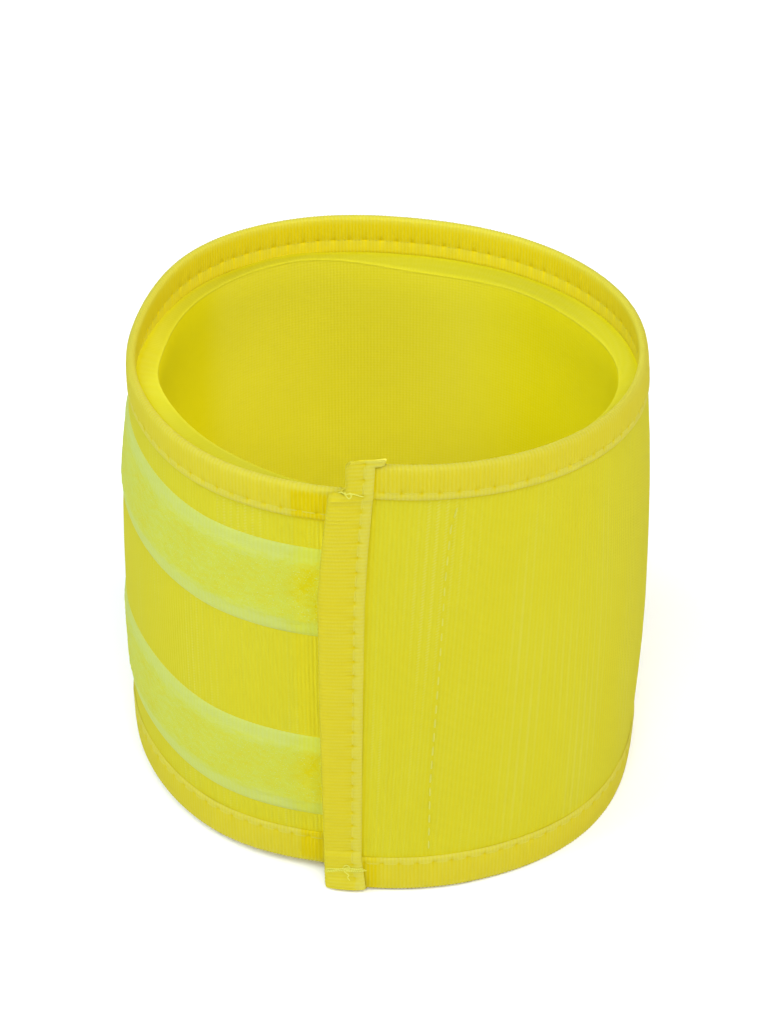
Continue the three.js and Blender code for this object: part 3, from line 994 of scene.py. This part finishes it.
def tape_piece(name, centre):
    run = columns(TAPE_START, TAPE_END, TAPE_STEP)[:, None]
    angle = angle_at(run)
    pile_end = TAPE_WIDTH - SELVEDGE
    selvedges = np.linspace(0, SELVEDGE, 6), np.linspace(pile_end, TAPE_WIDTH, 6)
    pile_rows = np.linspace(SELVEDGE, pile_end, 30)[1:-1]
    across = np.concatenate([selvedges[0], pile_rows, selvedges[1]])
    height = centre(angle) + across - TAPE_WIDTH / 2
    edge = np.minimum(across, TAPE_WIDTH - across)
    pile = ramp((edge - SELVEDGE + 0.4) / 0.8)
    tuft = smooth_noise(run, across, 0.9, 21) * 0.07 + smooth_noise(run, across, 3.1, 22) * 0.05
    depth = SELVEDGE_OUT + pile * (TAPE_OUT - SELVEDGE_OUT - tuft)
    flush = ramp((0.9 - edge) / 0.9)
    sway = strip_sway(run, angle, height)
    outer = on_strip(angle, height, depth + flush * (0.4 - depth) - sway)
    inner = on_strip(angle, height, TAPE_IN + 0.16 * flush - sway)
    # Painted shadow where the flap's end shades the second turn, with a ragged edge, and painted
    # light beside the flap.
    ragged = 2.5 * smooth_noise(run * 0, across, 3.0, 41)
    shade = 0.75 * ramp((run - run_at(SHADE_START) + 1.5 - ragged) / 5)
    side = 1 - 0.8 * beside_flap(angle, height)
    return thick_sheet(name, outer, inner, run, across, shade, pile_material, side)


def from_top(angle):
    return top_edge(angle) - on_line(angle, TAPE_FROM_TOP)


def from_bottom(angle):
    return bottom_edge(angle) + on_line(angle, TAPE_FROM_BOTTOM)


# Hook patch

def hook_patch():
    run = columns(HOOK_START, HOOK_END, 0.5)[:, None]
    height = np.linspace(HOOK_LOW, HOOK_HIGH, 40)
    outer = on_strip(angle_at(run), height, HOOK_OUT)
    inner = on_strip(angle_at(run), height, HOOK_IN)
    return thick_sheet("hook_patch", outer, inner, run, height, 0.0, hook_material)


def hooks():
    """Small bent hooks over the patch's inner face."""
    run = np.arange(run_at(HOOK_START) + 1, run_at(HOOK_END) - 1, HOOK_GRID)
    height = np.arange(HOOK_LOW + 1, HOOK_HIGH - 1, HOOK_GRID)
    run, height = (grid.ravel()[:, None] for grid in np.meshgrid(run, height))
    turn = np.linspace(0, 1, 5) * np.pi * 0.75
    rise = HOOK_HEIGHT * np.sin(turn)
    bend = HOOK_BEND * (1 - np.cos(turn)) / 2
    paths = on_strip(angle_at(run + bend), height, HOOK_IN + rise)
    return strands("hooks", paths, np.array([0, 0, 1]), HOOK_THREAD, hook_material, sides=5)


# Padded sleeve

def lined_radius(angle, height):
    """The face the sleeve lines: the strip under the flap, and beyond its end the outer turn."""
    merged = ramp((angle - MERGE_START) / (MERGE_END - MERGE_START))
    step = face_radius(STRIP_END - 360, height) - face_radius(STRIP_END, height)
    outer = face_radius(angle, height) - step * (1 - merged)
    return np.where(angle < MERGE_START, face_radius(angle + 360, height), outer)


def sleeve_rows(angle, edge_depth, edge):
    """Heights and depths of the sleeve's rows, and the depth where its upper face starts.

    That face slopes from under the ribbon's inner leg, or from just below the flap's.
    """
    top = np.where(angle < MERGE_START, top_edge(angle + 360), top_edge(angle))
    leg_edge = top - TOP_LEG - INNER_LONGER + 0.06
    shoulder = np.minimum(np.maximum(leg_edge, edge + 0.4), top - 1.2)
    outside = LEDGE_OUT - (LEDGE_OUT - CLOTH_IN - 0.1) * ramp((leg_edge - edge - 0.4) / 0.6)
    t = np.linspace(0, 1, 8)
    ledge = t - 0.12 * np.sin(np.pi * t)
    corner = np.linspace(0, np.pi / 2, 5)[1:]
    bend, reach = 1 - np.cos(corner), np.sin(corner)
    rows = np.linspace(0, 1, 26)
    under = np.array([0.15, 0.35, 0.7, 1.3, 2.1])
    lean = ramp((rows - 0.9) / 0.1)
    # Up its outside, over its upper face and lip, down its inside and round the lower edge
    parts = [
        (TUBE_BOTTOM + (shoulder - TUBE_BOTTOM) * rows, TUBE_OUT + (outside - TUBE_OUT) * lean),
        (shoulder + (edge - shoulder) * ledge, outside + (edge_depth - outside - LIP_REACH) * t),
        (edge - LIP * bend, edge_depth - LIP_REACH + LIP_REACH * reach),
        (edge - LIP - under, edge_depth),
        (TUBE_BOTTOM + (edge - LIP - TUBE_BOTTOM) * rows[-2::-1], edge_depth),
        (TUBE_BOTTOM - TUBE_ROUND * reach, edge_depth - TUBE_ROUND * bend),
        (TUBE_BOTTOM - TUBE_ROUND, TUBE_OUT + 0.5),
    ]
    parts = [np.broadcast_arrays(height, depth, angle)[:2] for height, depth in parts]
    height, depth = (np.concatenate(part, axis=1) for part in zip(*parts))
    return height, depth, outside


def sleeve_look(angle, height, depth, edge_depth, edge, outside):
    """Its side value and shade, on its upper face and on its inside: painted light and painted
    shade.
    """
    right = np.cos(np.radians(angle))
    to_side = right ** 8
    to_left = np.maximum(-right, 0) ** 4
    to_right = np.maximum(right, 0) ** 4
    to_front = np.maximum(-np.sin(np.radians(angle)), 0)
    inside = ramp((edge - LIP - height) / 0.4)
    lit = ramp((angle - LIGHT_ZONE[0]) / 26 + 0.5) * ramp((LIGHT_ZONE[1] - angle) / 12 + 0.5)
    # The inside is warmer and darker outside LIGHT_ZONE, the upper face is a little warm, and
    # painted shade runs along the shoulder under the ribbon's leg.
    shade = inside * (0.85 - 0.9 * lit) + 0.1 * (1 - inside)
    shade = shade + 0.7 * bell(depth - outside - 0.5, 0.5)
    # The upper face is painted a little darker as it looks up at the light, and painted lighter at
    # the sides, at the left, along the shoulder and by the lip; towards the front a little darker.
    ledge_side = 1.2 - 2.2 * to_side - 0.6 * to_left + 0.15 * to_front
    ledge_side = ledge_side - 0.7 * bell(depth - outside - 0.3, 0.5)
    ledge_side = ledge_side - (1.4 - 1.0 * to_side) * bell(edge_depth - depth, 0.3)
    # Painted light on the inside against its shade: more at the left and right, just under the
    # edge, and the lower down the more.
    low = np.clip((edge - height) / 70, 0, 1)
    under_edge = (0.8 + 0.9 * to_side) * bell(edge - height, 5.0)
    inner_side = 0.85 + 1.2 * to_left + 0.3 * to_right + under_edge + 2.0 * low
    return ledge_side * (1 - inside) - inner_side * inside, shade


def sleeve_piece():
    # The last column nearly meets the first, so the pattern's jump there has no width
    angle = np.append(np.arange(TUBE_START, TUBE_END, TUBE_STEP), TUBE_LAST)[:, None]
    place = (angle - SECTIONS[0, 0]) / ROW_STEP
    edge_depth, edge = (through(TUBE_EDGE[:, k], place, closed=True) for k in (0, 1))
    height, depth, outside = sleeve_rows(angle, edge_depth, edge)
    radius = lined_radius(angle, height)
    # Past the strip's hidden end the shoulder reaches out to the outer turn
    beyond = ramp((angle - MERGE_START - 2) / 4) * (angle > MERGE_START)
    gap = (face_radius(angle, height) - radius) * beyond
    towards = np.clip((edge_depth - depth) / (edge_depth - TUBE_OUT), 0, 1)
    to_end = np.minimum(angle - TUBE_START, TUBE_END - angle)
    sway = 0.12 * smooth_noise(angle, height, 20.0, 31) * ramp(to_end / 6) * (depth > TUBE_OUT + 1)
    loops = round_axis(angle, height, radius + gap * towards - depth + sway)
    side, shade = sleeve_look(angle, height, depth, edge_depth, edge, outside)
    pattern = np.radians(angle) * TUBE_RADIUS, height, side, shade
    return swept("padded_sleeve", loops, pattern, tube_material, closed=True)


# Pieces, and what each stands for

strip = strip_piece()
top_ribbon = edge_ribbon("top_ribbon", CORNER_START, TOP_LEG, below_top)
bottom_ribbon = edge_ribbon("bottom_ribbon", STRIP_START, BOTTOM_LEG, above_bottom)
flap_end_ribbon = end_ribbon_piece()
upper_tape = tape_piece("upper_loop_tape", from_top)
lower_tape = tape_piece("lower_loop_tape", from_bottom)
patch = hook_patch()
patch_hooks = hooks()
sleeve = sleeve_piece()
top_stitches = edge_stitches("top_stitches", STITCHES_START, below_top, TOP_LEG)
bottom_stitches = edge_stitches("bottom_stitches", STITCHES_START - 3, above_bottom, BOTTOM_LEG)
flap_stitches = end_stitches()
seam = seam_stitches()
loose = loose_threads()

STANDS_FOR = [
    ("band_body", "stretch_cloth", [strip, seam]),
    ("top_binding", "ribbon", [top_ribbon, *top_stitches]),
    ("bottom_binding", "ribbon", [bottom_ribbon, *bottom_stitches]),
    ("flap_end_binding", "ribbon", [flap_end_ribbon, *flap_stitches, loose]),
    ("loop_tape_upper", "loop_pile", [upper_tape]),
    ("loop_tape_lower", "loop_pile", [lower_tape]),
    ("hook_panel", "hook_cloth", [patch, patch_hooks]),
    ("inner_sleeve", "sleeve_cloth", [sleeve]),
]
for node, slot, pieces in STANDS_FOR:
    for piece in pieces:
        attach(piece, "root")
        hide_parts(node)


# Floor and light, in metres: each light's name, place, power and colour
FLOOR_REACH = 3.0
FLOOR_WHITE = 0.97
WORLD_STRENGTH = 0.32
LIGHT_SIZE = 1.2
LIGHTS = [
    ("key", (0.1, -1.15, 1.4), 23.5, (1.0, 1.0, 1.0)),
    ("left_fill", (-1.3, -0.3, 1.25), 17.0, (0.9, 1.05, 1.25)),
    ("right_fill", (1.3, -0.3, 1.25), 12.0, (1.0, 1.0, 1.0)),
    ("back_fill", (0.0, 1.5, 0.85), 6.0, (1.0, 1.0, 1.0)),
]


def make_floor():
    mesh = bpy.data.meshes.new("floor")
    corners = np.array([(-1, -1, 0), (1, -1, 0), (1, 1, 0), (-1, 1, 0)]) * FLOOR_REACH
    mesh.from_pydata(corners, [], [(0, 1, 2, 3)])
    material = bpy.data.materials.new("floor")
    material.use_nodes = True
    surface = material.node_tree.nodes["Principled BSDF"]
    surface.inputs["Base Color"].default_value = (FLOOR_WHITE, FLOOR_WHITE, FLOOR_WHITE, 1.0)
    surface.inputs["Roughness"].default_value = 1.0
    surface.inputs["Specular IOR Level"].default_value = 0.0
    mesh.materials.append(material)
    floor = add_object("floor", mesh)


def soft_light(name, place, power, colour):
    """A square light that faces the armband."""
    data = bpy.data.lights.new(name, "AREA")
    data.size = LIGHT_SIZE
    data.energy = power
    data.color = colour
    light = add_object(name, data)
    light.location = place
    light.rotation_euler = (-light.location).to_track_quat("-Z", "Y").to_euler()


def make_light():
    world = bpy.data.worlds.new("studio")
    bpy.context.scene.world = world
    world.use_nodes = True
    background = world.node_tree.nodes["Background"]
    background.inputs["Color"].default_value = (1.0, 1.0, 1.0, 1.0)
    background.inputs["Strength"].default_value = WORLD_STRENGTH
    for light in LIGHTS:
        soft_light(*light)


make_floor()
make_light()
bpy.context.scene.view_settings.view_transform = "Standard"
